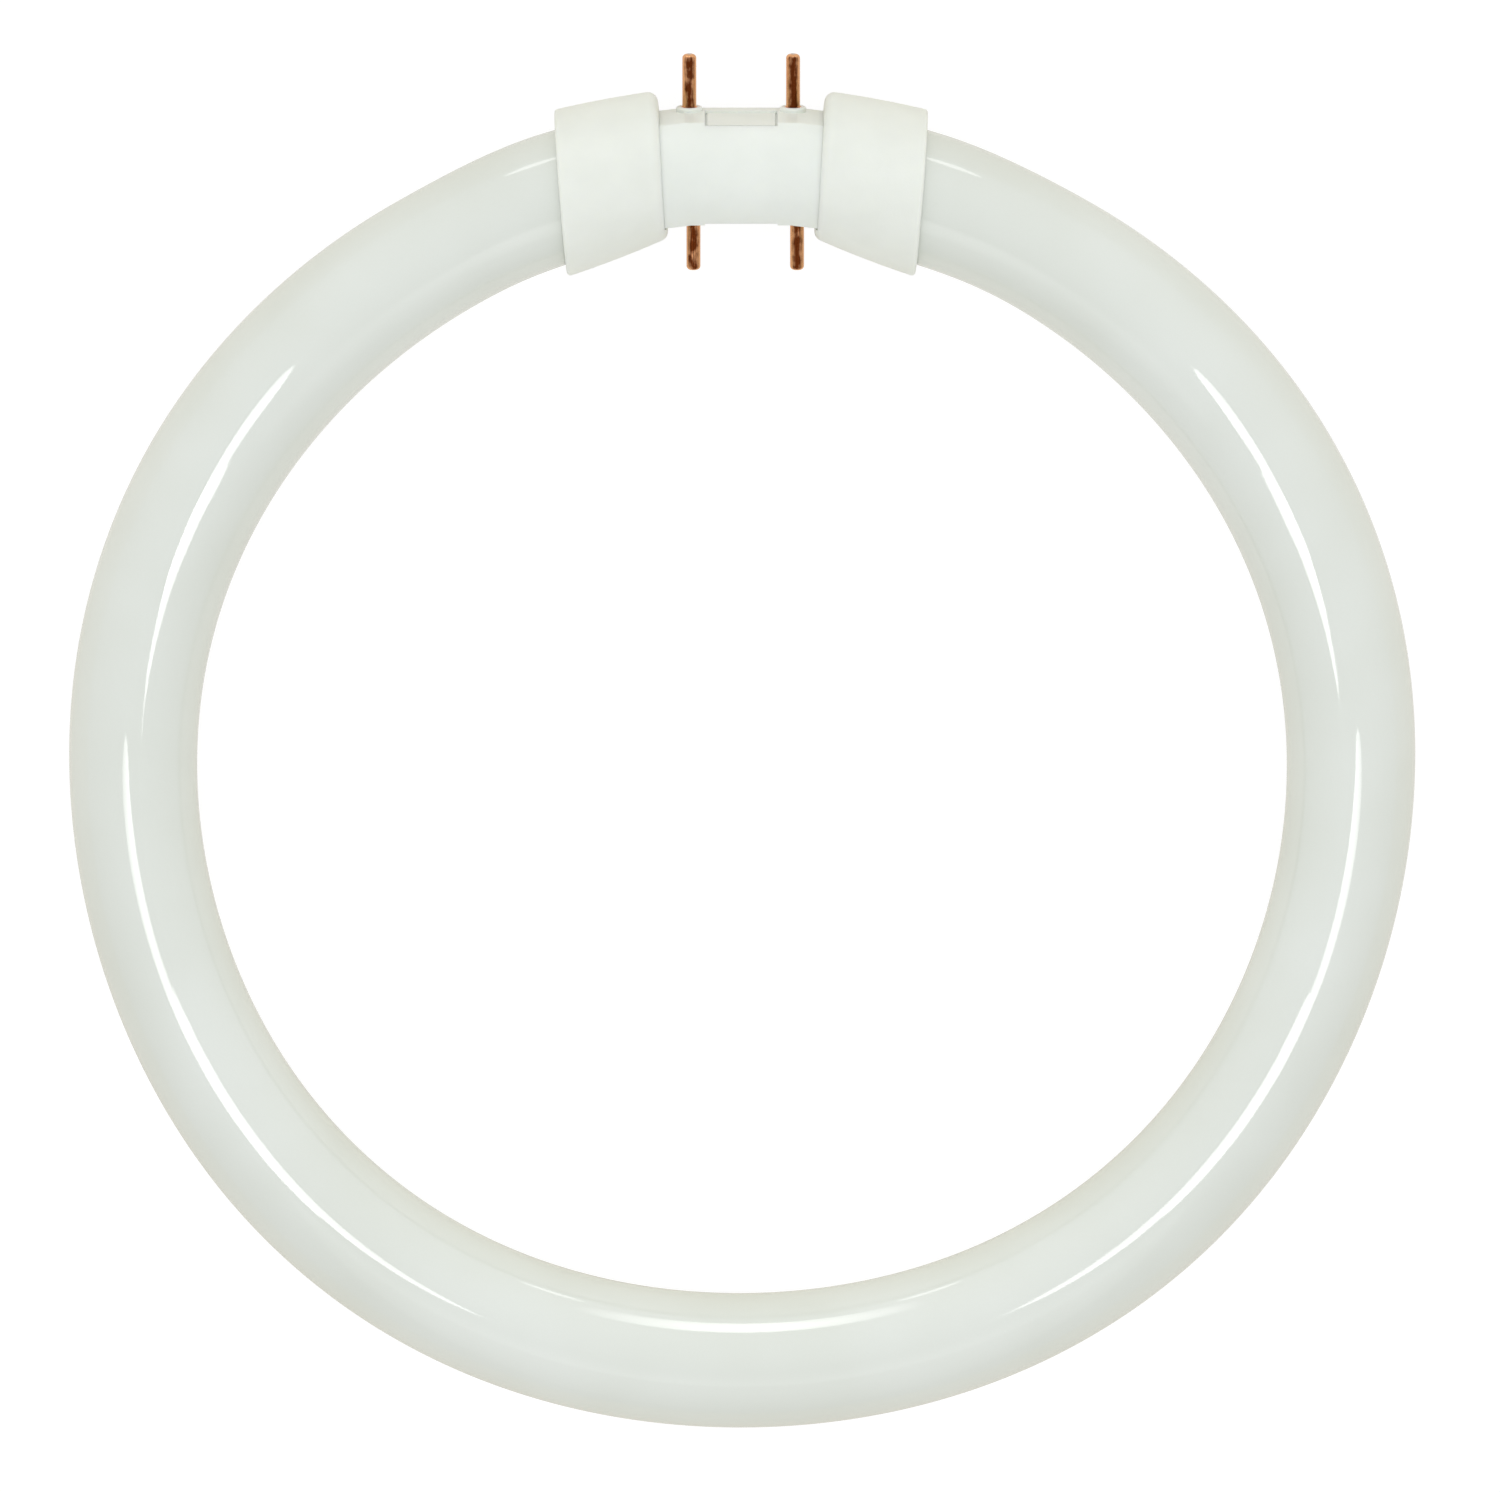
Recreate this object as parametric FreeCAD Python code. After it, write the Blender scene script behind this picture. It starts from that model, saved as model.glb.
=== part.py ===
import FreeCAD, Part
import math
import os

Vector = FreeCAD.Vector

# A circular fluorescent tube, lying flat. The origin is the ring's centre, the ring lies in the plane
# z = 0 and the base that closes the ring is on the +Y side. Lengths are millimetres, angles degrees.
# The base's two ends mirror each other, so each end is worked out on the +X side.

# Glass ring
RING_OUTER_DIAMETER = 300.0
TUBE_DIAMETER = 29.3
RIM_WALL = 4.0  # thickness of the half-round rim at each end of the glass
STEM_DEPTH = 9.0  # from the rim back to the floor of the hollow stem
STEM_FLOOR_DIAMETER = 11.0
EXHAUST_DIAMETER = 5.2  # sealed-off exhaust tip in the middle of the stem
EXHAUST_LENGTH = 12.0

# Collars, tapered sleeves that join the glass to the base
COLLAR_GAP = 2.1  # from the outermost pin's boss to the middle of a collar's face, along X
COLLAR_LENGTH = 23.5
COLLAR_MOUTH_DIAMETER = 36.2
COLLAR_FACE_DIAMETER = 31.8
COLLAR_CROWN = 0.3  # bulge of the sleeve's side at half its length
COLLAR_OUTSET = 1.0  # the sleeve's outside lies this much further out on the ring than its bore
COLLAR_CUT_ANGLE = 4.5  # both ends are cut at this angle to the lamp's middle plane
COLLAR_FACE_ROUND = 2.2
COLLAR_MOUTH_ROUND = 0.8
COLLAR_WEB = 4.0  # inner wall between the glass and the base's neck
COLLAR_WEB_HOLE = 18.0
GLASS_CLEARANCE = 0.25
NECK_DEPTH = 4.5  # length of the base's neck inside a collar
NECK_CLEARANCE = 0.35

# Base, a round barrel with a flat on its outer and inner side, bent a little towards each collar
BASE_DIAMETER = 29.3
BASE_ACROSS_FLATS = 23.1
BASE_WALL = 1.8
BASE_MIDDLE_LENGTH = 23.4
BASE_END_TILT = 7.0
BASE_EDGE_ROUND = 0.8
BASE_OUTSET = 0.9  # from the tube's centre line out to the barrel's axis
PARTING_DROP = 5.4  # the base's parting plane, which also holds the pins, below the ring's plane

# Tongues of the rear cover, one in a notch of each flat
TONGUE_WIDTH = 15.0
TONGUE_HEIGHT = 14.6  # above the parting plane
TONGUE_SINK = 0.5  # from the flat down to the tongue's face
TONGUE_CLEARANCE = 0.5

# Contact pins, two on the outer flat and two on the inner one
PIN_DIAMETER = 3.1
PIN_SPACING = 22.9
INNER_PIN_SHIFT = 0.9  # the inner pair stands this much further towards +X
PIN_PROJECTION = 11.8  # beyond its boss
PIN_NOSE_ROUND = 0.9
PIN_CLEARANCE = 0.05
SEAT_DIAMETER = 3.7  # where the pin passes through the wall and its boss
FLANGE_DIAMETER = 4.8
FLANGE_THICKNESS = 0.8
TAIL_DIAMETER = 2.2
TAIL_LENGTH = 1.6
BOSS_DIAMETER = 5.8
BOSS_HEIGHT = 0.9
BOSS_EDGE_ROUND = 0.4

# Lead wires from each stem through the hollow pins
LEAD_DIAMETER = 0.8
LEAD_CLEARANCE = 0.05
LEAD_OFFSET = 4.0  # from the tube's axis at the stem
LEAD_STRAIGHT = 2.0  # beyond the rim before the first bend
LEAD_BEND_RADIUS = 2.5
LEAD_BEND_GAP = 3.5  # from the pin's tail to the corner of the last bend

# Places that follow from the sizes above
RING_RADIUS = (RING_OUTER_DIAMETER - TUBE_DIAMETER) / 2
GLASS_INSERT = COLLAR_LENGTH - NECK_DEPTH - COLLAR_WEB
PARTING_Z = -PARTING_DROP
BEND_X = BASE_MIDDLE_LENGTH / 2
BASE_Y = RING_RADIUS + BASE_OUTSET
FLAT_OUT = BASE_ACROSS_FLATS / 2
FLAT_IN = FLAT_OUT - BASE_WALL
BOSS_END = FLAT_OUT + BOSS_HEIGHT
PIN_TIP = BOSS_END + PIN_PROJECTION
PIN_TAIL = FLAT_IN - FLANGE_THICKNESS - TAIL_LENGTH
FACE_X = PIN_SPACING / 2 + INNER_PIN_SHIFT + BOSS_DIAMETER / 2 + COLLAR_GAP
MOUTH_RADIUS = RING_RADIUS + COLLAR_OUTSET
FACE_RADIUS = math.hypot(MOUTH_RADIUS, COLLAR_LENGTH)
# From the lamp's middle round the ring to a collar's mouth, so that its face comes to FACE_X
COLLAR_ANGLE = math.degrees(math.atan2(COLLAR_LENGTH, MOUTH_RADIUS) + math.asin(FACE_X / FACE_RADIUS))
BEYOND = RING_OUTER_DIAMETER  # reach of a tool that only has to pass right through

SIDES = {"left": -1, "right": 1}
ROWS = {"outer": 1, "inner": -1}


def heading(degrees):
    """Unit vector in the ring's plane that falls away from +X by this angle."""
    angle = math.radians(degrees)
    return Vector(math.cos(angle), -math.sin(angle), 0)


COLLAR_AXIS = heading(COLLAR_ANGLE)
CUT_NORMAL = heading(COLLAR_CUT_ANGLE)
NECK_AXIS = heading(BASE_END_TILT)
MITRE_NORMAL = heading(BASE_END_TILT / 2)
OUTWARD = Vector(0, 0, 1).cross(COLLAR_AXIS)
GLASS_MOUTH = OUTWARD * RING_RADIUS
MOUTH = OUTWARD * MOUTH_RADIUS
FACE = MOUTH - COLLAR_AXIS * COLLAR_LENGTH
BEND = Vector(BEND_X, BASE_Y, 0)
NECK_LENGTH = (FACE - BEND).dot(CUT_NORMAL) / NECK_AXIS.dot(CUT_NORMAL) + NECK_DEPTH


def line(start, end):
    return Part.LineSegment(start, end).toShape()


def arc(start, middle, end):
    return Part.Arc(start, middle, end).toShape()


def face_of(edges):
    return Part.Face(Part.Wire(Part.__sortEdges__(edges)))


def laid_along(shape, start, direction):
    """Move a shape made along +X so that it starts at a point and runs along a direction."""
    turn = FreeCAD.Rotation(Vector(1, 0, 0), direction)
    shape.Placement = FreeCAD.Placement(start, turn)
    return shape


def revolved(edges):
    """Solid of revolution about +X, from a profile in the plane z = 0."""
    return face_of(edges).revolve(Vector(0, 0, 0), Vector(1, 0, 0), 360)


def past_plane(point, normal):
    """Everything within reach on the far side of a plane."""
    return Part.makeCylinder(BEYOND, BEYOND, point, normal)


def mirrored(shape):
    return shape.mirror(Vector(0, 0, 0), Vector(1, 0, 0))


def glass_end():
    """Straight end of the tube with its rounded rim, hollow stem and exhaust tip."""
    radius = TUBE_DIAMETER / 2
    rim = RIM_WALL / 2
    floor = GLASS_INSERT - STEM_DEPTH
    tip_radius = EXHAUST_DIAMETER / 2
    tip_end = floor + EXHAUST_LENGTH
    slant = tip_radius * math.sqrt(0.5)
    centre = Vector(0, 0, 0)
    start = Vector(0, radius, 0)
    rim_start = Vector(GLASS_INSERT - rim, radius, 0)
    rim_top = Vector(GLASS_INSERT, radius - rim, 0)
    rim_end = Vector(GLASS_INSERT - rim, radius - RIM_WALL, 0)
    floor_edge = Vector(floor, STEM_FLOOR_DIAMETER / 2, 0)
    tip_root = Vector(floor, tip_radius, 0)
    tip_shoulder = Vector(tip_end - tip_radius, tip_radius, 0)
    tip_middle = Vector(tip_end - tip_radius + slant, slant, 0)
    tip = Vector(tip_end, 0, 0)
    end = revolved([
        line(centre, start),
        line(start, rim_start),
        arc(rim_start, rim_top, rim_end),
        line(rim_end, floor_edge),
        line(floor_edge, tip_root),
        line(tip_root, tip_shoulder),
        arc(tip_shoulder, tip_middle, tip),
        line(tip, centre),
    ])
    return laid_along(end, GLASS_MOUTH, -COLLAR_AXIS)


def glass_tube():
    """The sealed ring: one round bend between the collar mouths, and a straight end in each collar."""
    sweep = 360 - 2 * COLLAR_ANGLE
    ring = Part.makeTorus(RING_RADIUS, TUBE_DIAMETER / 2, Vector(), Vector(0, 0, 1), 0, 360, sweep)
    ring.rotate(Vector(), Vector(0, 0, 1), 90 + COLLAR_ANGLE)
    end = glass_end()
    return ring.fuse([end, mirrored(end)])


def base_section(offset):
    """The barrel's section across +X, a circle with two flats and rounded corners, grown by an offset."""
    radius = BASE_DIAMETER / 2 + offset
    flat = FLAT_OUT + offset
    corner = BASE_EDGE_ROUND + max(offset, 0)
    centre_z = math.sqrt((radius - corner) ** 2 - (flat - corner) ** 2)
    centre = Vector(0, flat - corner, centre_z)
    flat_end = Vector(0, flat, centre_z)
    round_end = centre * (radius / (radius - corner))
    middle = centre + (flat_end + round_end - centre * 2).normalize() * corner
    edges = [line(Vector(0, y, -centre_z), Vector(0, y, centre_z)) for y in (flat, -flat)]
    for z in (1, -1):
        outer, inner = [
            [Vector(0, y * place.y, z * place.z) for place in (flat_end, middle, round_end)]
            for y in (1, -1)
        ]
        edges += [arc(*outer), arc(outer[-1], Vector(0, 0, z * radius), inner[-1]), arc(*inner)]
    return face_of(edges)


def base_run(offset, end_length):
    """Straight middle and two tilted ends of one section, mitred at the bends."""
    overlap = Vector(BASE_DIAMETER, 0, 0)
    middle = base_section(offset).extrude(overlap * 2 + Vector(BASE_MIDDLE_LENGTH, 0, 0))
    middle.translate(Vector(-BEND_X, BASE_Y, 0) - overlap)
    end = base_section(offset).extrude(overlap + Vector(end_length, 0, 0))
    laid_along(end, BEND - NECK_AXIS * BASE_DIAMETER, NECK_AXIS)
    past_mitre = past_plane(BEND, MITRE_NORMAL)
    end = end.common(past_mitre)
    middle = middle.cut([past_mitre, mirrored(past_mitre)])
    return middle.fuse([end, mirrored(end)])


def collar_radius(distance):
    """Outer radius of a collar at a distance from its mouth."""
    share = distance / COLLAR_LENGTH
    taper = COLLAR_MOUTH_DIAMETER + (COLLAR_FACE_DIAMETER - COLLAR_MOUTH_DIAMETER) * share
    return taper / 2 + 4 * COLLAR_CROWN * share * (1 - share)


def rounded_rim(shape, point, radius):
    """Round the edges that lie in the cutting plane through a point."""
    rim = [edge for edge in shape.Edges
           if all(abs((place - point).dot(CUT_NORMAL)) < 1e-4 for place in edge.discretize(5))]
    return shape.makeFillet(radius, rim)


def collar_body():
    """Tapered sleeve with a slightly crowned side, cut off askew at both ends, still solid."""
    overrun = COLLAR_MOUTH_DIAMETER * math.tan(math.radians(COLLAR_ANGLE - COLLAR_CUT_ANGLE))
    stations = [-overrun, COLLAR_LENGTH / 2, COLLAR_LENGTH + overrun]
    side = [Vector(place, collar_radius(place), 0) for place in stations]
    mouth_centre = Vector(stations[0], 0, 0)
    face_centre = Vector(stations[2], 0, 0)
    sleeve = revolved([
        line(mouth_centre, side[0]),
        arc(*side),
        line(side[2], face_centre),
        line(face_centre, mouth_centre),
    ])
    laid_along(sleeve, MOUTH, -COLLAR_AXIS)
    sleeve = sleeve.cut([past_plane(MOUTH, CUT_NORMAL), past_plane(FACE, -CUT_NORMAL)])
    sleeve = rounded_rim(sleeve, FACE, COLLAR_FACE_ROUND)
    return rounded_rim(sleeve, MOUTH, COLLAR_MOUTH_ROUND)


def right_collar():
    """The collar with its socket for the glass, its inner wall and its socket for the base's neck."""
    socket_depth = GLASS_INSERT + GLASS_CLEARANCE
    socket = Part.makeCylinder(TUBE_DIAMETER / 2 + GLASS_CLEARANCE, BEYOND + socket_depth)
    socket.translate(Vector(0, 0, -BEYOND))
    socket = socket.fuse(Part.makeCylinder(COLLAR_WEB_HOLE / 2, COLLAR_LENGTH))
    socket.Placement = FreeCAD.Placement(GLASS_MOUTH, FreeCAD.Rotation(Vector(0, 0, 1), -COLLAR_AXIS))
    neck = base_run(NECK_CLEARANCE, NECK_LENGTH + NECK_CLEARANCE)
    return collar_body().cut([socket, neck])


def pin_axis(side, row):
    """Where a pin's axis starts in the base, beside the base's own axis."""
    shift = INNER_PIN_SHIFT if row < 0 else 0
    return Vector(side * PIN_SPACING / 2 + shift, BASE_Y, PARTING_Z)


def across(shape, side, row):
    """Lay a shape made along +X on a pin's axis."""
    return laid_along(shape, pin_axis(side, row), Vector(0, row, 0))


def rod(diameter, start, end):
    """Cylinder along +X."""
    return Part.makeCylinder(diameter / 2, end - start, Vector(start, 0, 0), Vector(1, 0, 0))


def pin_places():
    return [(side, row) for side in SIDES.values() for row in ROWS.values()]


def edge_round(end, radius, rounding):
    """Start, middle and end of the quarter round between a shaft's side and its end."""
    slant = rounding * (1 - math.sqrt(0.5))
    return [
        Vector(end - rounding, radius, 0),
        Vector(end - slant, radius - slant, 0),
        Vector(end, radius - rounding, 0),
    ]


def pin_boss():
    """Low round boss along +X, from inside the wall to its rounded outer edge."""
    inner_centre = Vector(FLAT_IN, 0, 0)
    outer_centre = Vector(BOSS_END, 0, 0)
    foot = Vector(FLAT_IN, BOSS_DIAMETER / 2, 0)
    edge = edge_round(BOSS_END, BOSS_DIAMETER / 2, BOSS_EDGE_ROUND)
    return revolved([
        line(inner_centre, foot),
        line(foot, edge[0]),
        arc(*edge),
        line(edge[-1], outer_centre),
        line(outer_centre, inner_centre),
    ])


def base_walls():
    """Both halves of the base in one: the hollow barrel with its pin bosses and pin holes."""
    outside = base_run(0, NECK_LENGTH)
    inside = base_run(-BASE_WALL, NECK_LENGTH + NECK_DEPTH)
    bosses = [across(pin_boss(), *place) for place in pin_places()]
    hole = SEAT_DIAMETER + 2 * PIN_CLEARANCE
    pocket = FLANGE_DIAMETER + 2 * PIN_CLEARANCE
    holes = [across(rod(hole, PIN_TAIL, PIN_TIP), *place) for place in pin_places()]
    pockets = [across(rod(pocket, PIN_TAIL, FLAT_IN), *place) for place in pin_places()]
    return outside.fuse(bosses).cut([inside] + holes + pockets)


def flat_block(width, top, outer):
    """Block over both flats, from the parting plane up, as far out as given from the base's axis."""
    size = Vector(width, 2 * outer, top - PARTING_Z)
    return Part.makeBox(size.x, size.y, size.z, Vector(-width / 2, BASE_Y - outer, PARTING_Z))


def base_front_shell():
    """The deep half of the base, above the parting plane, with a notch for each tongue."""
    notch = flat_block(
        TONGUE_WIDTH + 2 * TONGUE_CLEARANCE,
        PARTING_Z + TONGUE_HEIGHT + TONGUE_CLEARANCE,
        BASE_DIAMETER,
    )
    below = past_plane(Vector(0, BASE_Y, PARTING_Z), Vector(0, 0, -1))
    return base_walls().cut([below, notch])


def base_rear_cover():
    """The shallow half of the base, below the parting plane, with a tongue sunk a little in each flat."""
    tongues = flat_block(TONGUE_WIDTH, PARTING_Z + TONGUE_HEIGHT, FLAT_OUT - TONGUE_SINK)
    above = past_plane(Vector(0, BASE_Y, PARTING_Z), Vector(0, 0, 1))
    return base_walls().cut(above.cut(tongues))


def contact_pin(side, row):
    """Hollow turned pin: tail, flange behind the wall, seat in the wall, shank with a rounded nose."""
    bore = LEAD_DIAMETER / 2 + LEAD_CLEARANCE
    tail = TAIL_DIAMETER / 2
    flange = FLANGE_DIAMETER / 2
    seat = SEAT_DIAMETER / 2
    shank = PIN_DIAMETER / 2
    flange_start = FLAT_IN - FLANGE_THICKNESS
    nose = edge_round(PIN_TIP, shank, PIN_NOSE_ROUND)
    outline = [
        Vector(PIN_TIP, bore, 0),
        Vector(PIN_TAIL, bore, 0),
        Vector(PIN_TAIL, tail, 0),
        Vector(flange_start, tail, 0),
        Vector(flange_start, flange, 0),
        Vector(FLAT_IN, flange, 0),
        Vector(FLAT_IN, seat, 0),
        Vector(BOSS_END, seat, 0),
        Vector(BOSS_END, shank, 0),
        nose[0],
    ]
    edges = [line(first, second) for first, second in zip(outline, outline[1:])]
    edges += [arc(*nose), line(nose[-1], outline[0])]
    return across(revolved(edges), side, row)


def rounded_path(points, radius):
    """Straight runs between the points, joined by tangent arcs."""
    edges = []
    last = points[0]
    for before, corner, after in zip(points, points[1:], points[2:]):
        back = (before - corner).normalize()
        ahead = (after - corner).normalize()
        half_angle = back.getAngle(ahead) / 2
        reach = radius / math.tan(half_angle)
        middle = (back + ahead).normalize() * (radius / math.sin(half_angle) - radius)
        edges += [
            line(last, corner + back * reach),
            arc(corner + back * reach, corner + middle, corner + ahead * reach),
        ]
        last = corner + ahead * reach
    return Part.Wire(edges + [line(last, points[-1])])


def lead_wire(side, row):
    """Wire from the floor of the stem, out past the rim and through a pin to its tip."""
    start = GLASS_MOUTH - COLLAR_AXIS * (GLASS_INSERT - STEM_DEPTH) + OUTWARD * LEAD_OFFSET * row
    out = start - COLLAR_AXIS * (STEM_DEPTH + LEAD_STRAIGHT)
    start, out, along = [Vector(side * place.x, place.y, place.z) for place in (start, out, COLLAR_AXIS)]
    corner = pin_axis(side, row) + Vector(0, row * (PIN_TAIL - LEAD_BEND_GAP), 0)
    tip = pin_axis(side, row) + Vector(0, row * PIN_TIP, 0)
    path = rounded_path([start, out, corner, tip], LEAD_BEND_RADIUS)
    section = Part.Wire(Part.Circle(start, along, LEAD_DIAMETER / 2).toShape())
    return path.makePipeShell([section], True, True)


def pieces():
    """Every separate piece of the lamp, by name."""
    made = {
        "glass_tube": glass_tube(),
        "base_front_shell": base_front_shell(),
        "base_rear_cover": base_rear_cover(),
        "collar_right": right_collar(),
        "collar_left": mirrored(right_collar()),
    }
    for side_name, side in SIDES.items():
        for row_name, row in ROWS.items():
            place = row_name + "_" + side_name
            made["contact_pin_" + place] = contact_pin(side, row)
            made["lead_wire_" + place] = lead_wire(side, row)
    return made


os.makedirs("parts", exist_ok=True)
for name, shape in pieces().items():
    shape.exportStep("parts/" + name + ".step")
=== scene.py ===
import math

import bpy
from bpy.props import FloatProperty, FloatVectorProperty, IntProperty, PointerProperty
from mathutils import Matrix, Vector


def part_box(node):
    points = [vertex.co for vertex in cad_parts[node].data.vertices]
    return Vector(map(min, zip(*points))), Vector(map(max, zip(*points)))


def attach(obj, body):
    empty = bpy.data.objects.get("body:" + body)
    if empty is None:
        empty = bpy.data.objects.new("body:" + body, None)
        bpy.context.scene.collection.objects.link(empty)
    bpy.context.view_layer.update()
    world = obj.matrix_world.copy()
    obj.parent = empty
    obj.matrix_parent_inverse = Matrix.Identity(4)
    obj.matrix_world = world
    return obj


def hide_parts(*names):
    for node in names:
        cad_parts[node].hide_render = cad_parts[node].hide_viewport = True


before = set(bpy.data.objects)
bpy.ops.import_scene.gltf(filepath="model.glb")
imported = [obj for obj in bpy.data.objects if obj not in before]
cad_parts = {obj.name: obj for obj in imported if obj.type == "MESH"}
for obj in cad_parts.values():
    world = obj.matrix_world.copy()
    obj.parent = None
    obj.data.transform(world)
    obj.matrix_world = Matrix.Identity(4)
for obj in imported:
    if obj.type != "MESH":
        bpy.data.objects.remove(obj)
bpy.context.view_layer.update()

bl_info = {
    "name": "Ring lamp",
    "version": (1, 0, 0),
    "blender": (4, 5, 0),
    "location": "View3D > Sidebar > Ring lamp",
    "description": "Dresses a circular fluorescent tube and lights it for a picture",
    "category": "Object",
}

# Lengths are metres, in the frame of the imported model: the ring lies flat round the origin and its
# base is on the +Y side. Ring angles run clockwise from the base, seen from above.

GLASS_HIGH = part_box("glass_tube")[1]
COLLAR_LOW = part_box("collar_right")[0]
COLLARS = ("collar_left", "collar_right")
BASE_HALVES = ("base_front_shell", "base_rear_cover")
FLATS = ((0.1478, 1), (0.1247, -1))  # the base's two flats: place along Y and the way each faces
PLACES = ("outer_left", "outer_right", "inner_left", "inner_right")

# Slow waves of the hand-bent ring: lobes round the ring, size, and angle of a crest in degrees. The
# wave without lobes makes the tube a little slimmer all round.
BEND_WAVES = ((5, 0.00036, 0.0), (1, 0.00030, 138.0), (4, 0.00030, 42.0), (2, 0.00012, 55.0))
GIRTH_WAVES = ((0, -0.00020, 0.0), (3, 0.00044, -59.0), (1, 0.00034, 180.0), (4, 0.00019, -42.0))
WAVE_EASE = math.radians(14)  # ring angle from a collar's mouth to where the waves have their full size

# One end of the glass, inside its collar. Distances run from the collar's mouth into the collar.
RIM_START = 0.0130  # distance of the half-round rim
RIM_MIDDLE = 0.01265  # radius at the middle of the rim
RIM_ROUND = 0.0020  # radius of the half-round
STEM_FLOOR = 0.0060  # distance of the hollow stem's floor
STEM_FLOOR_RADIUS = 0.0055
EXHAUST_RADIUS = 0.0026
EXHAUST_END = 0.0180  # distance of the sealed exhaust tip

# Corners of a box's six faces, where the corners are counted by X, then Y, then Z.
BOX_FACES = ((0, 1, 3, 2), (4, 6, 7, 5), (0, 4, 5, 1), (2, 3, 7, 6), (0, 2, 6, 4), (1, 5, 7, 3))

# Oval lamps that draw the bright lines on the right half of the glass, and mirrored on the left half:
# name, middle, ring angle lit, length, width, angle of the length from the +X axis, spread,
# brightness. Angles are degrees.
STRIPS = (
    ("upper_far", (0.132, 0.018, 0.35), 52, 0.160, 0.042, 60.5, 48, 4.7),
    ("upper_near", (0.0955, -0.035, 0.35), 64, 0.132, 0.030, 35.5, 54, 5.1),
    ("lower_far", (0.170, -0.120, 0.35), 105, 0.173, 0.069, 33.2, 37, 4.2),
    ("lower_near", (0.090, -0.137, 0.35), 126, 0.110, 0.056, -10.2, 47, 4.0),
    ("collar_glint", (0.216, 0.522, 0.066), 19, 0.085, 0.052, -22.0, 90, 1.9),
)

# Oval lamps that light the body: name, middle, point lit, length, width, angle of the length from the
# +X axis, spread. Angles are degrees, and the brightness of each is one of the stage's settings.
PANELS = (
    ("back", (-0.01, 0.335, 0.171), (0.0, -0.135, 0.0), 0.470, 0.155, 5, 38),
    ("far", (0.0, -0.56, 0.42), (0.0, -0.135, 0.0), 0.65, 0.84, 0, 80),
    ("inner", (0.0, -0.30, 0.55), (0.0, 0.12, 0.0), 0.50, 0.30, 0, 44),
)

WHITE = (1.0, 1.0, 1.0)
FLOOR_GLOW = 0.86  # brightness of the floor's own white
FLOOR_SHADE = (0.22, 0.22, 0.22)  # colour that lets a faint shadow show on the white
FLOOR_REACH = 6.0  # half the floor's width
COLLAR_FOOT = 0.125  # place along Y where the collars stand on the floor
FLOOR_FADE = (-0.325, -0.075)  # along Y from the collars' foot: the white in reflections changes here
SENSOR_WIDTH = 36.0  # millimetres


def srgb(red, green, blue):
    """Linear colour from the 0 to 255 values of a picture."""
    shares = [value / 255 for value in (red, green, blue)]
    return tuple(s / 12.92 if s <= 0.04045 else ((s + 0.055) / 1.055) ** 2.4 for s in shares)


class GlassSettings(bpy.types.PropertyGroup):
    """Sizes and colours of the coated glass."""

    tube_radius: FloatProperty(
        name="Tube radius", description="Half the glass tube's outside diameter",
        default=GLASS_HIGH.z, min=0.001, unit="LENGTH")
    ring_radius: FloatProperty(
        name="Ring radius", description="From the ring's centre to the tube's centre line",
        default=0.13535, min=0.01, unit="LENGTH")
    mouth_angle: FloatProperty(
        name="Mouth angle", description="Ring angle at which the glass leaves a collar",
        default=math.radians(16.98), subtype="ANGLE")
    steps_round_ring: IntProperty(
        name="Steps round the ring", description="Rings of points along the bend", default=420, min=24)
    steps_round_tube: IntProperty(
        name="Steps round the tube", description="Points in each ring", default=72, min=12)
    coating: FloatVectorProperty(
        name="Coating", description="Colour of the powder coating behind the glass",
        default=srgb(229, 233, 226), subtype="COLOR", min=0, max=1)
    coating_thin: FloatVectorProperty(
        name="Thin coating", description="Colour where the coating lies a little thinner",
        default=srgb(223, 227, 218), subtype="COLOR", min=0, max=1)
    gloss: FloatProperty(
        name="Gloss roughness", description="Roughness of the glass surface",
        default=0.035, min=0, max=1, subtype="FACTOR")


class PlasticSettings(bpy.types.PropertyGroup):
    """Colours of the moulded base."""

    collar: FloatVectorProperty(
        name="Collar", description="Colour of the two collars",
        default=srgb(241, 244, 236), subtype="COLOR", min=0, max=1)
    barrel: FloatVectorProperty(
        name="Barrel", description="Colour of the base between the collars",
        default=srgb(241, 245, 238), subtype="COLOR", min=0, max=1)
    speck: FloatVectorProperty(
        name="Specks", description="Colour of the few dust specks in the moulding",
        default=srgb(150, 140, 120), subtype="COLOR", min=0, max=1)


class SeamSettings(bpy.types.PropertyGroup):
    """Sizes of the thin webs that close the seams beside the base's two tongues."""

    from_middle: FloatProperty(
        name="From the middle", description="From the base's middle to the middle of a seam",
        default=0.00775, unit="LENGTH")
    width: FloatProperty(
        name="Width", description="Width of a web", default=0.00046, unit="LENGTH")
    thickness: FloatProperty(
        name="Thickness", description="Thickness of a web", default=0.0009, unit="LENGTH")
    sink: FloatProperty(
        name="Sink", description="From the base's flat down to a web's face",
        default=0.0008, unit="LENGTH")
    low: FloatProperty(
        name="Lower end", description="Height of a web's lower end", default=-0.0053, unit="LENGTH")
    high: FloatProperty(
        name="Upper end", description="Height of a web's upper end", default=0.0091, unit="LENGTH")


class PinSettings(bpy.types.PropertyGroup):
    """Colours of the contact pins and their wires."""

    copper: FloatVectorProperty(
        name="Copper", description="Colour of the clean metal",
        default=srgb(232, 172, 124), subtype="COLOR", min=0, max=1)
    # Colour of the tarnish streaks, and of the painted dark reflection on the pins' upper and lower
    # faces.
    tarnish_and_painted_reflection: FloatVectorProperty(
        name="Tarnish", description="Colour of the darkened metal",
        default=srgb(96, 44, 16), subtype="COLOR", min=0, max=1)
    wire: FloatVectorProperty(
        name="Wire", description="Colour of the lead wires",
        default=srgb(186, 186, 180), subtype="COLOR", min=0, max=1)


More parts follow.
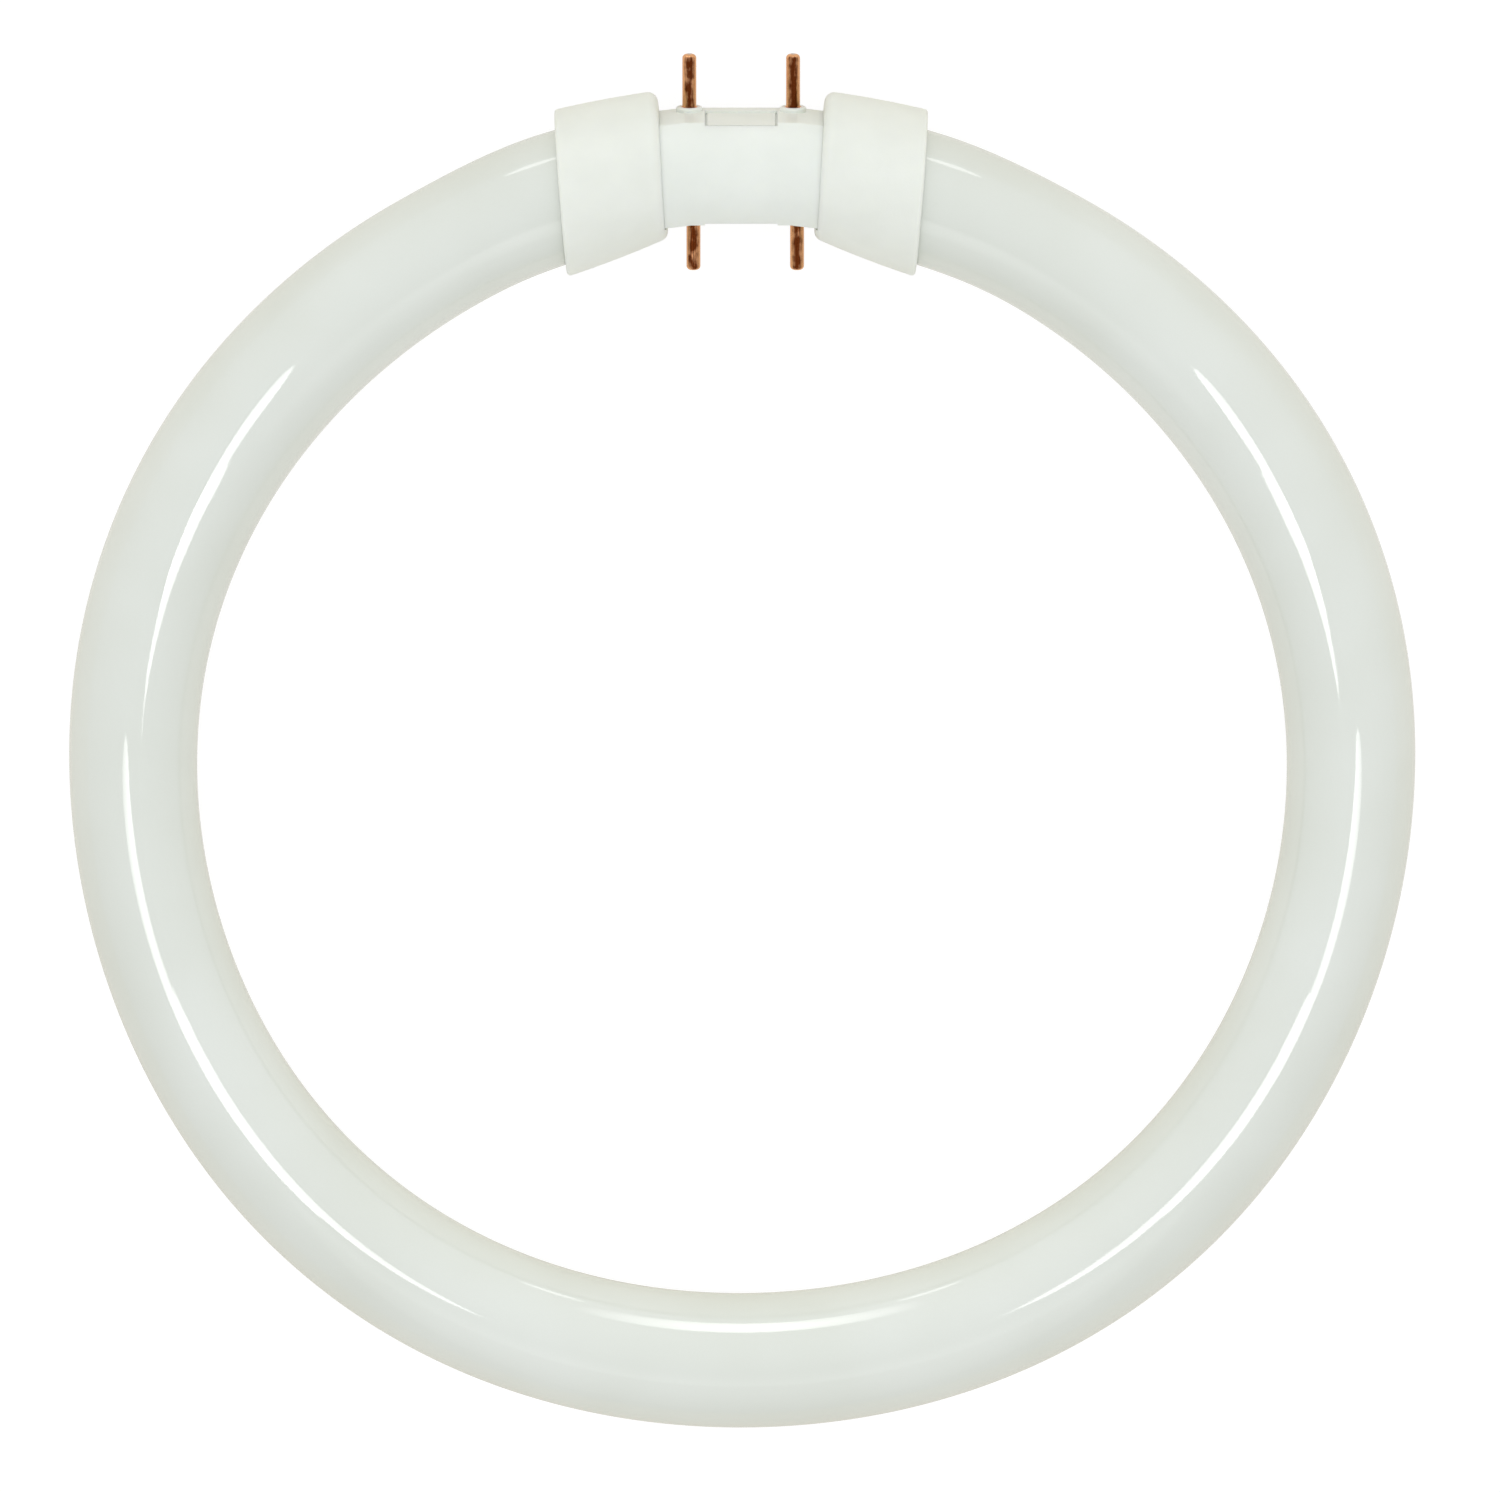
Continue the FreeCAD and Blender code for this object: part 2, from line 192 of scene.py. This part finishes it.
class StageSettings(bpy.types.PropertyGroup):
    """Camera, floor and light."""

    camera_tilt: FloatProperty(
        name="Camera tilt", description="Lean of the camera from straight overhead towards the base",
        default=math.radians(12.28), subtype="ANGLE")
    camera_distance: FloatProperty(
        name="Camera distance", description="From the camera to the middle of the picture",
        default=5.414, unit="LENGTH")
    camera_aim: FloatVectorProperty(
        name="Camera aim", description="Point in the middle of the picture",
        default=(0.00195, 0.00535, 0.0), subtype="XYZ", unit="LENGTH")
    camera_lens: FloatProperty(
        name="Lens", description="Focal length in millimetres", default=585.7, min=1, unit="CAMERA")
    floor: FloatVectorProperty(
        name="Floor", description="Colour of the floor",
        default=srgb(227, 220, 203), subtype="COLOR", min=0, max=1)
    base_side: FloatVectorProperty(
        name="Light beyond the base", description="Brightness of the surroundings on the base's side",
        default=(1.02, 1.035, 1.05), subtype="COLOR", min=0)
    far_side: FloatVectorProperty(
        name="Light opposite the base", description="Brightness of the surroundings on the far side",
        default=(0.725, 0.73, 0.735), subtype="COLOR", min=0)
    back_light: FloatProperty(
        name="Back light", description="Brightness of the panel beyond the base", default=4.4, min=0)
    far_light: FloatProperty(
        name="Far light", description="Brightness of the soft panel opposite the base",
        default=0.36, min=0)
    inner_light: FloatProperty(
        name="Inner light", description="Brightness of the panel that lights the inner side of the base",
        default=0.45, min=0)
    reflected_white: FloatProperty(
        name="White in reflections",
        description="Share of the white floor by the base that shows in gloss and glass",
        default=0.55, min=0, max=1, subtype="FACTOR")
    reflected_far: FloatProperty(
        name="Far white in reflections",
        description="The same share on the floor beyond the ring's far side",
        default=0.2, min=0, max=1, subtype="FACTOR")


def set_inputs(node, inputs):
    """Give a node's inputs values, or links from other nodes."""
    for name, value in inputs.items():
        if isinstance(value, bpy.types.NodeSocket):
            node.id_data.links.new(value, node.inputs[name])
        else:
            node.inputs[name].default_value = value


def add_node(tree, kind, inputs=None, **settings):
    """Add a node with its settings and inputs."""
    made = tree.nodes.new(kind)
    for name, value in settings.items():
        setattr(made, name, value)
    set_inputs(made, inputs or {})
    return made


def empty_tree(owner):
    """Emptied node tree of a material or a world."""
    owner.use_nodes = True
    owner.node_tree.nodes.clear()
    return owner.node_tree


def opaque(colour):
    """Colour with full cover, as sockets want it."""
    return (*colour, 1.0)


def noise(tree, where, scale, detail=3.0):
    """Noise of a given number of lumps per metre."""
    made = add_node(tree, "ShaderNodeTexNoise", {"Vector": where, "Scale": scale, "Detail": detail})
    return made.outputs["Fac"]


def ranged(tree, value, source, target=(0.0, 1.0)):
    """Map a value from one range to another, held inside it."""
    made = add_node(
        tree, "ShaderNodeMapRange",
        {"Value": value, "From Min": source[0], "From Max": source[1],
         "To Min": target[0], "To Max": target[1]})
    return made.outputs["Result"]


def arithmetic(tree, operation, *values):
    """Result of a sum on plain numbers and sockets."""
    made = add_node(tree, "ShaderNodeMath", dict(enumerate(values)), operation=operation)
    return made.outputs["Value"]


def mixed(tree, share, first, second):
    """Mix of two colours, which are inputs 6 and 7 of the node, as its colour output, number 2."""
    made = add_node(tree, "ShaderNodeMix", {0: share, 6: first, 7: second}, data_type="RGBA")
    return made.outputs[2]


def bumped(tree, height, strength, distance):
    """Surface direction over small heights."""
    made = add_node(
        tree, "ShaderNodeBump", {"Height": height, "Strength": strength, "Distance": distance})
    return made.outputs["Normal"]


def stretched(tree, where, scale):
    """Coordinates scaled along each axis."""
    made = add_node(tree, "ShaderNodeMapping", {"Vector": where, "Scale": scale})
    return made.outputs["Vector"]


def coordinates(tree, kind):
    """Coordinates of the point that is shaded."""
    return add_node(tree, "ShaderNodeTexCoord").outputs[kind]


def along_axis(tree, vector, axis):
    """One part of a vector."""
    return add_node(tree, "ShaderNodeSeparateXYZ", {"Vector": vector}).outputs[axis]


def new_material(name):
    """Bare material: the material, its node tree, its shader and its object coordinates."""
    material = bpy.data.materials.new(name)
    tree = empty_tree(material)
    shader = add_node(tree, "ShaderNodeBsdfPrincipled")
    add_node(tree, "ShaderNodeOutputMaterial", {"Surface": shader.outputs["BSDF"]})
    return material, tree, shader, coordinates(tree, "Object")


def coated_glass(settings):
    """White powder coating seen through a smooth, slightly wavy glass surface."""
    material, tree, shader, where = new_material("coated_glass")
    cloud = ranged(tree, noise(tree, where, scale=28.0, detail=2.0), (0.35, 0.65))
    powder = ranged(tree, noise(tree, where, scale=2600.0, detail=2.0), (0.2, 0.8))
    fleck = ranged(tree, powder, (0.0, 1.0), (0.0, 0.25))
    thin = arithmetic(tree, "MULTIPLY_ADD", cloud, 0.75, fleck)
    ripple = noise(tree, where, scale=55.0, detail=1.0)
    set_inputs(shader, {
        "Base Color": mixed(tree, thin, opaque(settings.coating), opaque(settings.coating_thin)),
        "Roughness": ranged(tree, powder, (0.0, 1.0), (0.5, 0.6)),
        "Specular IOR Level": 0.2,
        "Coat Weight": 1.0,
        "Coat Roughness": settings.gloss,
        "Coat IOR": 1.8,
        "Coat Normal": bumped(tree, ripple, strength=0.08, distance=0.0006),
    })
    return material


def moulded_plastic(name, colour, speck):
    """Satin white moulding with a fine grain and a few specks of dust."""
    material, tree, shader, where = new_material(name)
    shade = ranged(tree, noise(tree, where, scale=120.0), (0.3, 0.7))
    duller = tuple(value * 0.965 for value in colour)
    tint = mixed(tree, shade, opaque(colour), opaque(duller))
    dots = add_node(tree, "ShaderNodeTexVoronoi", {"Vector": where, "Scale": 160.0, "Randomness": 1.0})
    small = ranged(tree, dots.outputs["Distance"], (0.035, 0.055), (1.0, 0.0))
    chosen = add_node(tree, "ShaderNodeSeparateColor", {"Color": dots.outputs["Color"]}).outputs["Red"]
    few = ranged(tree, chosen, (0.86, 0.87))
    share = arithmetic(tree, "MULTIPLY", small, few)
    grain = noise(tree, where, scale=1800.0, detail=4.0)
    set_inputs(shader, {
        "Base Color": mixed(tree, share, tint, opaque(speck)),
        "Roughness": ranged(tree, grain, (0.3, 0.7), (0.36, 0.48)),
        "Normal": bumped(tree, grain, strength=0.22, distance=0.00012),
        "Subsurface Weight": 0.6,
        "Subsurface Radius": (1.0, 1.0, 0.9),
        "Subsurface Scale": 0.0008,
    })
    return material


def copper_tarnish_and_painted_reflection(settings):
    """Copper-coloured metal with streaks and patches of tarnish, and a painted dark reflection on the
    faces that look up or down; the flanks stay bright.
    """
    material, tree, shader, where = new_material("copper_tarnish_and_painted_reflection")
    # Painted reflection: faces that look up or down are darkened, standing in for the dark room overhead
    # that they mirror; only the noise streaks and patches are tarnish.
    upright = along_axis(tree, coordinates(tree, "Normal"), "Z")
    painted_dark_reflection = arithmetic(tree, "ABSOLUTE", upright)
    streaks = noise(tree, stretched(tree, where, (1.0, 0.12, 1.0)), scale=2200.0)
    patches = noise(tree, where, scale=520.0)
    uneven = arithmetic(tree, "ADD", streaks, patches)
    painted_reflection_and_tarnish = arithmetic(tree, "MULTIPLY_ADD", uneven, 0.55, painted_dark_reflection)
    share = ranged(tree, painted_reflection_and_tarnish, (1.18, 1.52))
    set_inputs(shader, {
        "Base Color": mixed(tree, share, opaque(settings.copper), opaque(settings.tarnish_and_painted_reflection)),
        "Roughness": ranged(tree, uneven, (0.7, 1.3), (0.12, 0.28)),
        "Normal": bumped(tree, streaks, strength=0.3, distance=0.00012),
        "Metallic": 1.0,
    })
    return material


def wire_metal(settings):
    """Drawn wire with a faint grain."""
    material, tree, shader, where = new_material("wire_metal")
    marks = noise(tree, where, scale=5200.0)
    duller = tuple(value * 0.7 for value in settings.wire)
    set_inputs(shader, {
        "Base Color": mixed(tree, marks, opaque(settings.wire), opaque(duller)),
        "Roughness": ranged(tree, marks, (0.3, 0.7), (0.28, 0.45)),
        "Normal": bumped(tree, marks, strength=0.2, distance=0.00005),
        "Metallic": 1.0,
    })
    return material


def dress(names, material):
    """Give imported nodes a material."""
    for name in names:
        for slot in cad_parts[name].material_slots:
            slot.material = material


def new_mesh(name, points, faces):
    """Mesh over points, with flat faces."""
    mesh = bpy.data.meshes.new(name)
    mesh.from_pydata(points, [], faces)
    mesh.update()
    return mesh


def add_object(scene, name, data):
    """New object in the scene."""
    made = bpy.data.objects.new(name, data)
    scene.collection.objects.link(made)
    return made


def on_ring(angle):
    """Direction from the ring's centre to a ring angle."""
    return Vector((math.sin(angle), math.cos(angle), 0.0))


def waved(waves, angle):
    """Sum of slow waves at a ring angle."""
    return sum(size * math.cos(lobes * (angle - math.radians(crest))) for lobes, size, crest in waves)


def rounded(start, middle, radius, turn, steps):
    """Points on part of a circle: distance from the collar's mouth and radius of the glass at each."""
    angles = [turn * step / steps for step in range(steps + 1)]
    return [(start + radius * math.sin(angle), middle + radius * math.cos(angle)) for angle in angles]


def end_profile():
    """One end of the glass: distance from the collar's mouth and radius of each ring of points."""
    rim = rounded(RIM_START, RIM_MIDDLE, RIM_ROUND, math.pi, 6)
    stem = [(STEM_FLOOR, STEM_FLOOR_RADIUS), (STEM_FLOOR, EXHAUST_RADIUS)]
    tip = rounded(EXHAUST_END - EXHAUST_RADIUS, 0.0, EXHAUST_RADIUS, math.pi / 2, 2)
    return rim + stem + tip


def glass_rings(settings):
    """Rings of points along the glass: centre, outward direction and radius of each."""
    first = settings.mouth_angle
    sweep = 2 * math.pi - 2 * first
    along = []
    for step in range(settings.steps_round_ring + 1):
        share = step / settings.steps_round_ring
        angle = first + sweep * share
        ease = min(min(share, 1 - share) * sweep / WAVE_EASE, 1.0)
        ease = ease * ease * (3 - 2 * ease)
        out = on_ring(angle)
        reach = settings.ring_radius + ease * waved(BEND_WAVES, angle)
        along.append((out * reach, out, settings.tube_radius + ease * waved(GIRTH_WAVES, angle)))
    ends = []
    for side in (1, -1):
        out = on_ring(side * first)
        inward = Vector((-side * math.cos(first), math.sin(first), 0.0))
        mouth = out * settings.ring_radius
        ends.append([(mouth + inward * distance, out, radius) for distance, radius in end_profile()])
    return ends[0][::-1] + along + ends[1]


def glass_mesh(settings):
    """One closed skin over the rings of points, with a single point at each exhaust tip."""
    count = settings.steps_round_tube
    rings = glass_rings(settings)
    up = Vector((0.0, 0.0, 1.0))
    points = [rings[0][0]]
    for centre, out, radius in rings[1:-1]:
        for step in range(count):
            turn = 2 * math.pi * step / count
            points.append(centre + (out * math.cos(turn) + up * math.sin(turn)) * radius)
    points.append(rings[-1][0])
    last = len(points) - 1
    faces = []
    for step in range(count):
        following = (step + 1) % count
        faces.append((0, 1 + following, 1 + step))
        faces.append((last, last - count + step, last - count + following))
        for ring in range(len(rings) - 3):
            here = 1 + ring * count
            ahead = here + count
            faces.append((here + step, here + following, ahead + following, ahead + step))
    mesh = new_mesh("glass", points, faces)
    mesh.shade_smooth()
    return mesh


class RING_LAMP_OT_glass(bpy.types.Operator):
    """Make the bent glass tube with its coating"""

    bl_idname = "ring_lamp.glass"
    bl_label = "Glass tube"

    def execute(self, context):
        settings = context.scene.ring_lamp_glass
        glass = add_object(context.scene, "glass", glass_mesh(settings))
        glass.data.materials.append(coated_glass(settings))
        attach(glass, "root")
        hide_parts("glass_tube")
        return {"FINISHED"}


class RING_LAMP_OT_base(bpy.types.Operator):
    """Finish the collars and both halves of the base"""

    bl_idname = "ring_lamp.base"
    bl_label = "Collars and base"

    def execute(self, context):
        settings = context.scene.ring_lamp_plastic
        dress(COLLARS, moulded_plastic("collar_plastic", settings.collar, settings.speck))
        dress(BASE_HALVES, moulded_plastic("barrel_plastic", settings.barrel, settings.speck))
        return {"FINISHED"}


def box_mesh(name, corners):
    """Boxes in one mesh, each given by two opposite corners."""
    points = []
    faces = []
    for low, high in corners:
        start = len(points)
        points += [(x, y, z) for x in (low.x, high.x) for y in (low.y, high.y) for z in (low.z, high.z)]
        faces += [[start + corner for corner in face] for face in BOX_FACES]
    return new_mesh(name, points, faces)


def seam_corners(settings):
    """Corners of the four webs, two behind each flat."""
    corners = []
    for place, facing in FLATS:
        faces = (place - facing * settings.sink, place - facing * (settings.sink + settings.thickness))
        for side in (-1, 1):
            middle = side * settings.from_middle
            low = Vector((middle - settings.width / 2, min(faces), settings.low))
            high = Vector((middle + settings.width / 2, max(faces), settings.high))
            corners.append((low, high))
    return corners


class RING_LAMP_OT_seams(bpy.types.Operator):
    """Close the seams beside the tongues with thin webs"""

    bl_idname = "ring_lamp.seams"
    bl_label = "Seam webs"

    def execute(self, context):
        corners = seam_corners(context.scene.ring_lamp_seams)
        webs = add_object(context.scene, "seam_webs", box_mesh("seam_webs", corners))
        webs.data.materials.append(bpy.data.materials["barrel_plastic"])
        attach(webs, "root")
        return {"FINISHED"}


class RING_LAMP_OT_pins(bpy.types.Operator):
    """Finish the contact pins and the lead wires"""

    bl_idname = "ring_lamp.pins"
    bl_label = "Pins and wires"

    def execute(self, context):
        settings = context.scene.ring_lamp_pins
        dress(["contact_pin_" + place for place in PLACES], copper_tarnish_and_painted_reflection(settings))
        dress(["lead_wire_" + place for place in PLACES], wire_metal(settings))
        return {"FINISHED"}


def add_camera(scene, settings):
    """Camera high above the ring, leaned a little towards the base."""
    data = bpy.data.cameras.new("camera")
    data.lens = settings.camera_lens
    data.sensor_width = SENSOR_WIDTH
    camera = add_object(scene, "camera", data)
    lean = settings.camera_tilt
    away = Vector((0.0, math.sin(lean), math.cos(lean))) * settings.camera_distance
    camera.location = Vector(settings.camera_aim) + away
    camera.rotation_euler = (-lean, 0.0, 0.0)
    scene.camera = camera


def background_share(tree, reflected):
    """How far a ray shows the white floor: all to the camera, in part in gloss or through glass."""
    path = add_node(tree, "ShaderNodeLightPath").outputs
    indirect = arithmetic(tree, "MAXIMUM", path["Is Glossy Ray"], path["Is Transmission Ray"])
    part = arithmetic(tree, "MULTIPLY", indirect, reflected)
    return arithmetic(tree, "MAXIMUM", path["Is Camera Ray"], part)


def floor_material(settings):
    """Pale floor that looks white and keeps a faint shadow."""
    material = bpy.data.materials.new("floor")
    material.cycles.emission_sampling = "NONE"
    tree = empty_tree(material)
    plain = add_node(tree, "ShaderNodeBsdfDiffuse", {"Color": opaque(settings.floor)})
    shaded = add_node(tree, "ShaderNodeBsdfDiffuse", {"Color": opaque(FLOOR_SHADE)})
    white = add_node(tree, "ShaderNodeEmission", {"Color": opaque(WHITE), "Strength": FLOOR_GLOW})
    seen = add_node(tree, "ShaderNodeAddShader", {0: shaded.outputs[0], 1: white.outputs[0]})
    side = along_axis(tree, coordinates(tree, "Object"), "Y")
    reflected = ranged(tree, side, FLOOR_FADE, (settings.reflected_far, settings.reflected_white))
    share = background_share(tree, reflected)
    surface = add_node(tree, "ShaderNodeMixShader", {0: share, 1: plain.outputs[0], 2: seen.outputs[0]})
    add_node(tree, "ShaderNodeOutputMaterial", {"Surface": surface.outputs[0]})
    return material


def add_floor(scene, settings):
    """Floor that leans a little, so that it touches the collars and the far side of the ring."""
    glass = scene.ring_lamp_glass
    far_low = -glass.tube_radius - waved(GIRTH_WAVES, math.pi)
    rise = math.atan2(far_low - COLLAR_LOW.z, COLLAR_FOOT + glass.ring_radius)
    corners = [(x * FLOOR_REACH, y * FLOOR_REACH, 0.0) for x, y in ((-1, -1), (1, -1), (1, 1), (-1, 1))]
    floor = add_object(scene, "floor", new_mesh("floor", corners, [(0, 1, 2, 3)]))
    floor.location = (0.0, COLLAR_FOOT, COLLAR_LOW.z)
    floor.rotation_euler = (-rise, 0.0, 0.0)
    floor.data.materials.append(floor_material(settings))


def add_world(scene, settings):
    """Soft surroundings, brighter beyond the base."""
    world = bpy.data.worlds.new("surroundings")
    tree = empty_tree(world)
    side = along_axis(tree, coordinates(tree, "Generated"), "Y")
    share = ranged(tree, side, (-1.0, 1.0))
    colour = mixed(tree, share, opaque(settings.far_side), opaque(settings.base_side))
    light = add_node(tree, "ShaderNodeBackground", {"Color": colour, "Strength": 1.0})
    add_node(tree, "ShaderNodeOutputWorld", {"Surface": light.outputs[0]})
    scene.world = world


def add_oval_lamp(scene, name, middle, lit, length, width, angle, spread, brightness):
    """Oval lamp that faces a point, with its length at an angle from the +X axis, in radians."""
    data = bpy.data.lights.new(name, "AREA")
    data.shape = "ELLIPSE"
    data.size = length
    data.size_y = width
    data.spread = spread
    # A narrow spread makes a lamp brighter, and the focus takes that back.
    half = spread / 2
    focus = math.tan(half) / (math.tan(half) - half)
    area = math.pi / 4 * length * width
    data.energy = brightness * math.pi * area / focus
    back = (Vector(middle) - Vector(lit)).normalized()
    along = Vector((math.cos(angle), math.sin(angle), 0.0))
    along = (along - back * along.dot(back)).normalized()
    lamp = add_object(scene, name, data)
    lamp.location = middle
    lamp.rotation_euler = Matrix((along, back.cross(along), back)).transposed().to_euler()
    return lamp


def mirrored(point, side):
    """A point of the right half, or its mirror image for side -1."""
    return (side * point[0], point[1], point[2])


def add_strips(scene):
    """Lamps of the bright lines. They show only in gloss, so they add no light to the body."""
    ring_radius = scene.ring_lamp_glass.ring_radius
    for name, middle, ring_angle, length, width, angle, spread, brightness in STRIPS:
        lit = on_ring(math.radians(ring_angle)) * ring_radius
        for side_name, side in (("left", -1), ("right", 1)):
            strip = add_oval_lamp(
                scene, name + "_" + side_name + "_strip", mirrored(middle, side), mirrored(lit, side),
                length, width, side * math.radians(angle), math.radians(spread), brightness)
            strip.visible_diffuse = False


def add_panels(scene, settings):
    """Lamps that light the body beside the surroundings."""
    for name, middle, lit, length, width, angle, spread in PANELS:
        brightness = getattr(settings, name + "_light")
        add_oval_lamp(
            scene, name + "_panel", middle, lit, length, width,
            math.radians(angle), math.radians(spread), brightness)


class RING_LAMP_OT_stage(bpy.types.Operator):
    """Set up the floor, the light and the camera"""

    bl_idname = "ring_lamp.stage"
    bl_label = "Stage"

    def execute(self, context):
        scene = context.scene
        settings = scene.ring_lamp_stage
        scene.view_settings.view_transform = "Standard"
        add_floor(scene, settings)
        add_world(scene, settings)
        add_strips(scene)
        add_panels(scene, settings)
        add_camera(scene, settings)
        return {"FINISHED"}


class RING_LAMP_PT_tools(bpy.types.Panel):
    """Steps that dress the lamp, in order"""

    bl_label = "Ring lamp"
    bl_idname = "RING_LAMP_PT_tools"
    bl_space_type = "VIEW_3D"
    bl_region_type = "UI"
    bl_category = "Ring lamp"

    def draw(self, context):
        for operator in OPERATORS:
            self.layout.operator(operator.bl_idname)


SETTINGS = {
    "ring_lamp_glass": GlassSettings,
    "ring_lamp_plastic": PlasticSettings,
    "ring_lamp_seams": SeamSettings,
    "ring_lamp_pins": PinSettings,
    "ring_lamp_stage": StageSettings,
}
OPERATORS = (
    RING_LAMP_OT_glass, RING_LAMP_OT_base, RING_LAMP_OT_seams, RING_LAMP_OT_pins, RING_LAMP_OT_stage)


def register():
    """Add the settings, the operators and the panel to Blender."""
    for name, group in SETTINGS.items():
        bpy.utils.register_class(group)
        setattr(bpy.types.Scene, name, PointerProperty(type=group))
    for made in (*OPERATORS, RING_LAMP_PT_tools):
        bpy.utils.register_class(made)


def unregister():
    """Take the panel, the operators and the settings out again."""
    for made in (RING_LAMP_PT_tools, *reversed(OPERATORS)):
        bpy.utils.unregister_class(made)
    for name, group in SETTINGS.items():
        delattr(bpy.types.Scene, name)
        bpy.utils.unregister_class(group)


def main():
    """Dress the lamp step by step."""
    register()
    bpy.ops.ring_lamp.glass()
    bpy.ops.ring_lamp.base()
    bpy.ops.ring_lamp.seams()
    bpy.ops.ring_lamp.pins()
    bpy.ops.ring_lamp.stage()


if __name__ == "__main__":
    main()
